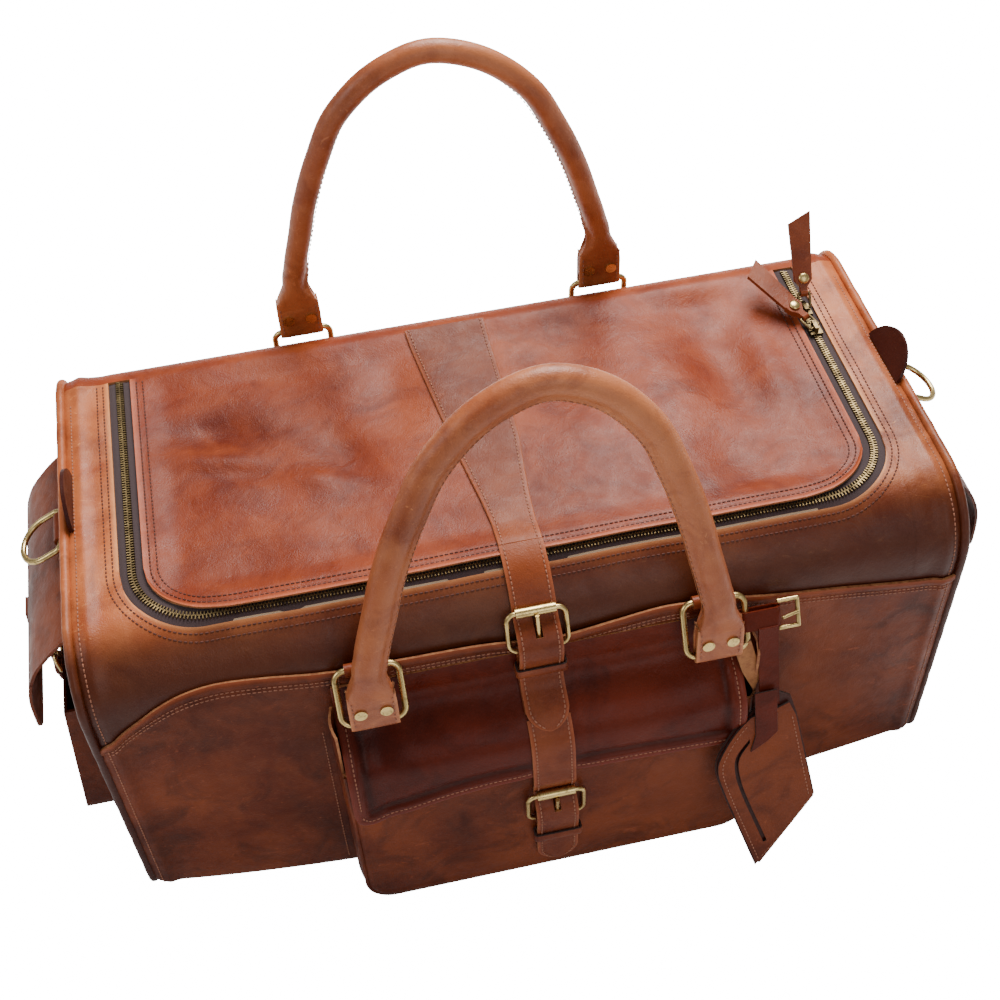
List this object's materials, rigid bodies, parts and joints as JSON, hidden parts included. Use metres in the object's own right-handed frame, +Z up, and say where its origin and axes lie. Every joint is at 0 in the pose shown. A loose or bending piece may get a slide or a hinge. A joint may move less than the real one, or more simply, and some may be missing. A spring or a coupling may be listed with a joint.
{
  "type": "leather weekender bag",
  "caption": "Leather weekender travel bag with a zipped lid, rolled handles on rings, a strapped front pocket, flap pockets on the ends and a hanging luggage tag.",
  "frame": {"origin": "centre of the flat base, on the surface the bag stands on", "axes": "+X along the bag to the viewer's right, -Y out of the strapped front, +Z up"},
  "size_m": [0.7032, 0.4059, 0.4929],
  "materials": {
    "body_leather": "waxed full-grain leather, satin, darker at the edges",
    "dark_leather": "darker waxed full-grain leather, satin",
    "strap_leather": "oiled strap leather, satin",
    "brass": "antiqued brass, brushed",
    "zip_tape": "woven zip tape, matte",
    "lining_cloth": "cotton twill, matte",
    "board": "stiff fibre board, matte"
  },
  "bodies": {
    "bag": {"front_panel": "body_leather", "back_panel": "body_leather", "base_panel": "dark_leather", "end_panel_left": "body_leather", "end_panel_right": "body_leather", "front_overlay": "dark_leather", "piping_left": "body_leather", "piping_right": "body_leather", "lining": "lining_cloth", "base_board": "board", "zip_tape_body": "zip_tape", "zip_teeth_body": "brass", "pocket_front": "dark_leather", "pocket_gusset": "dark_leather", "flap_root": "dark_leather", "buckle_chapes": "strap_leather", "keepers": "dark_leather", "handle_chapes": "strap_leather", "end_pocket_left": "dark_leather", "end_pocket_right": "dark_leather", "end_flap_roots": "dark_leather", "end_chapes": "strap_leather", "end_tabs": "dark_leather"},
    "lid": {"lid_panel": "body_leather", "zip_tape_lid": "zip_tape", "zip_teeth_lid": "brass", "lid_strap": "strap_leather"},
    "lid_tongue": {"lid_tongue": "strap_leather"},
    "slider_a": {"slider_a": "brass"},
    "slider_b": {"slider_b": "brass"},
    "puller_ring_a": {"puller_ring_a": "brass"},
    "puller_ring_b": {"puller_ring_b": "brass"},
    "pull_a": {"pull_a": "strap_leather"},
    "pull_b": {"pull_b": "strap_leather"},
    "rings_front": {"rings_front": "brass", "tag_strap": "strap_leather", "tag_buckle": "brass"},
    "handle_front": {"handle_front": "strap_leather", "rivets_front": "brass"},
    "rings_rear": {"rings_rear": "brass"},
    "handle_rear": {"handle_rear": "strap_leather", "rivets_rear": "brass"},
    "frame_top": {"frame_top": "brass"},
    "roller_top": {"roller_top": "brass"},
    "prong_top": {"prong_top": "brass"},
    "frame_low": {"frame_low": "brass"},
    "roller_low": {"roller_low": "brass"},
    "prong_low": {"prong_low": "brass"},
    "pocket_flap": {"pocket_flap": "dark_leather", "flap_strap": "strap_leather"},
    "flap_tongue": {"flap_tongue": "strap_leather"},
    "end_flap_left": {"end_flap_left": "dark_leather", "end_strap_left": "strap_leather"},
    "end_flap_right": {"end_flap_right": "dark_leather", "end_strap_right": "strap_leather"},
    "end_buckle_left": {"end_buckle_left": "brass"},
    "end_buckle_right": {"end_buckle_right": "brass"},
    "d_ring_left": {"d_ring_left": "brass"},
    "d_ring_right": {"d_ring_right": "brass"},
    "tag": {"tag_pouch": "strap_leather"}
  },
  "joints": [
    {"name": "lid_hinge", "type": "hinge", "parent": "bag", "child": "lid", "pos_m": [0, 0.119, 0.268], "axis": [-1, 0, 0], "range_deg": [0, 90], "deforming": ["lid_tongue"]},
    {"name": "lid_tongue_bend", "type": "hinge", "parent": "lid", "child": "lid_tongue", "pos_m": [-0.002, -0.1023, 0.2701], "axis": [-1, 0, 0], "range_deg": [0, 110], "deforming": ["lid_tongue"]},
    {"name": "slider_a_run", "type": "slide", "parent": "lid", "child": "slider_a", "axis": [0, 1, 0], "range_m": [-0.111, 0]},
    {"name": "slider_b_run", "type": "slide", "parent": "lid", "child": "slider_b", "axis": [0, 1, 0], "range_m": [0, 0.043]},
    {"name": "puller_ring_a_swing", "type": "hinge", "parent": "slider_a", "child": "puller_ring_a", "pos_m": [0.256, 0.046, 0.2713], "axis": [0.866, 0.5, 0], "range_deg": [-6, 60]},
    {"name": "pull_a_swing", "type": "hinge", "parent": "puller_ring_a", "child": "pull_a", "pos_m": [0.25066, 0.05524, 0.27396], "axis": [0.866, 0.5, 0], "range_deg": [-4, 50]},
    {"name": "puller_ring_b_swing", "type": "hinge", "parent": "slider_b", "child": "puller_ring_b", "pos_m": [0.256, 0.068, 0.2713], "axis": [0.9976, -0.0698, 0], "range_deg": [-36, 33]},
    {"name": "pull_b_swing", "type": "hinge", "parent": "puller_ring_b", "child": "pull_b", "pos_m": [0.25647, 0.07476, 0.27997], "axis": [0.9976, -0.0698, 0], "range_deg": [-12, 60]},
    {"name": "rings_front_swing", "type": "hinge", "parent": "bag", "child": "rings_front", "pos_m": [0, -0.15255, 0.234], "axis": [-1, 0, 0], "range_deg": [0, 25]},
    {"name": "handle_front_swing", "type": "hinge", "parent": "rings_front", "child": "handle_front", "pos_m": [0, -0.17205, 0.20022], "axis": [-1, 0, 0], "range_deg": [-120, 0]},
    {"name": "rings_rear_swing", "type": "hinge", "parent": "bag", "child": "rings_rear", "pos_m": [0, 0.15255, 0.222], "axis": [-1, 0, 0], "range_deg": [-2, 100]},
    {"name": "handle_rear_swing", "type": "hinge", "parent": "rings_rear", "child": "handle_rear", "pos_m": [0, 0.14983, 0.2609], "axis": [-1, 0, 0], "range_deg": [-44, 60]},
    {"name": "frame_top_swing", "type": "hinge", "parent": "bag", "child": "frame_top", "pos_m": [-0.002, -0.1555, 0.2225], "axis": [1, 0, 0], "range_deg": [0, 50], "deforming": ["lid_tongue"]},
    {"name": "roller_top_turn", "type": "hinge", "parent": "frame_top", "child": "roller_top", "pos_m": [-0.002, -0.14472, 0.24878], "axis": [1, 0, 0], "continuous": true},
    {"name": "prong_top_swing", "type": "hinge", "parent": "frame_top", "child": "prong_top", "pos_m": [-0.002, -0.1555, 0.2225], "axis": [1, 0, 0], "range_deg": [0, 80], "deforming": ["lid_tongue"]},
    {"name": "frame_low_swing", "type": "hinge", "parent": "bag", "child": "frame_low", "pos_m": [-0.002, -0.1987, 0.078], "axis": [1, 0, 0], "range_deg": [0, 50], "deforming": ["flap_tongue"]},
    {"name": "roller_low_turn", "type": "hinge", "parent": "frame_low", "child": "roller_low", "pos_m": [-0.002, -0.1987, 0.1064], "axis": [1, 0, 0], "continuous": true},
    {"name": "prong_low_swing", "type": "hinge", "parent": "frame_low", "child": "prong_low", "pos_m": [-0.002, -0.1987, 0.078], "axis": [1, 0, 0], "range_deg": [0, 68], "deforming": ["flap_tongue"]},
    {"name": "pocket_flap_fold", "type": "hinge", "parent": "bag", "child": "pocket_flap", "pos_m": [0, -0.18495, 0.16675], "axis": [-1, 0, 0], "range_deg": [0, 100], "deforming": ["flap_tongue"]},
    {"name": "flap_tongue_bend", "type": "hinge", "parent": "pocket_flap", "child": "flap_tongue", "pos_m": [-0.002, -0.1975, 0.1185], "axis": [-1, 0, 0], "range_deg": [0, 100], "deforming": ["flap_tongue"]},
    {"name": "end_flap_left_fold", "type": "hinge", "parent": "bag", "child": "end_flap_left", "pos_m": [-0.3423, 0, 0.1945], "axis": [0, 1, 0], "range_deg": [0, 90], "deforming": ["end_strap_left"]},
    {"name": "end_buckle_left_swing", "type": "hinge", "parent": "bag", "child": "end_buckle_left", "pos_m": [-0.3406, 0, 0.105], "axis": [0, -1, 0], "range_deg": [0, 50], "deforming": ["end_strap_left"]},
    {"name": "d_ring_left_swing", "type": "hinge", "parent": "bag", "child": "d_ring_left", "pos_m": [-0.3056, 0, 0.25], "axis": [0, 1, 0], "range_deg": [-12, 100]},
    {"name": "end_flap_right_fold", "type": "hinge", "parent": "bag", "child": "end_flap_right", "pos_m": [0.3423, 0, 0.1945], "axis": [0, -1, 0], "range_deg": [0, 90], "deforming": ["end_strap_right"]},
    {"name": "end_buckle_right_swing", "type": "hinge", "parent": "bag", "child": "end_buckle_right", "pos_m": [0.3406, 0, 0.105], "axis": [0, 1, 0], "range_deg": [0, 50], "deforming": ["end_strap_right"]},
    {"name": "d_ring_right_swing", "type": "hinge", "parent": "bag", "child": "d_ring_right", "pos_m": [0.3056, 0, 0.25], "axis": [0, -1, 0], "range_deg": [-12, 100]},
    {"name": "tag_swing", "type": "hinge", "parent": "rings_front", "child": "tag", "pos_m": [0.152, -0.1909, 0.1515], "axis": [-1, 0, 0], "range_deg": [0, 70]}
  ]
}
